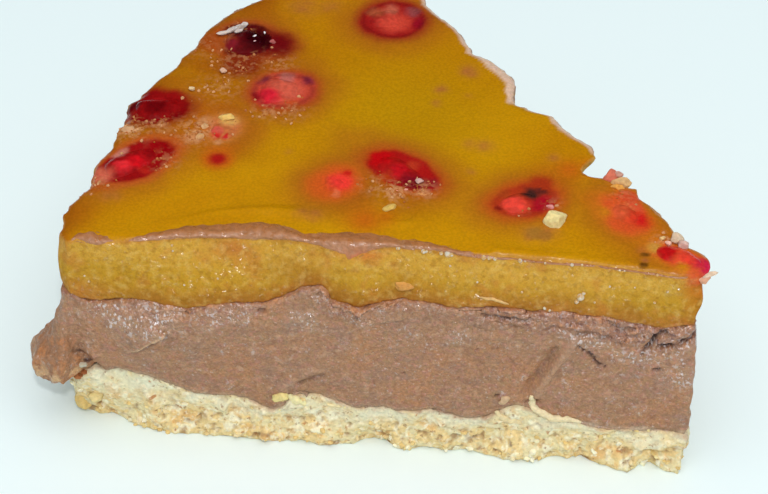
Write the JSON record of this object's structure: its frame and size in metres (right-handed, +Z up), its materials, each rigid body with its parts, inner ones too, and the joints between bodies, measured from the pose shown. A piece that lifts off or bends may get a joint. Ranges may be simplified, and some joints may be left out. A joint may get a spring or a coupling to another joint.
{
  "type": "chocolate tart slice",
  "caption": "Wedge-shaped slice of layered tart: crumb base, chocolate mousse and a fruit jelly top set with pomegranate arils.",
  "frame": {"origin": "middle of the slice's footprint, on the surface it rests on", "axes": "+Z up; the front cut face runs along X and faces -Y, with the slice's tip at +X and its rim at -X"},
  "size_m": [0.0984, 0.077, 0.0403],
  "materials": {
    "biscuit": "pale baked biscuit crumb, dry and rough, with darker and whiter bits",
    "mousse": "milky chocolate mousse, matt with moist glints along knife marks",
    "jelly": "amber fruit jelly, translucent and wet",
    "aril": "dark red pomegranate aril, glossy and translucent"
  },
  "bodies": {
    "root": {"biscuit_base": "biscuit", "chocolate_mousse": "mousse", "fruit_jelly": "jelly", "aril_01": "aril", "aril_02": "aril", "aril_03": "aril", "aril_04": "aril", "aril_05": "aril", "aril_06": "aril", "aril_07": "aril", "aril_08": "aril", "aril_09": "aril", "aril_10": "aril", "aril_11": "aril"}
  },
  "joints": []
}
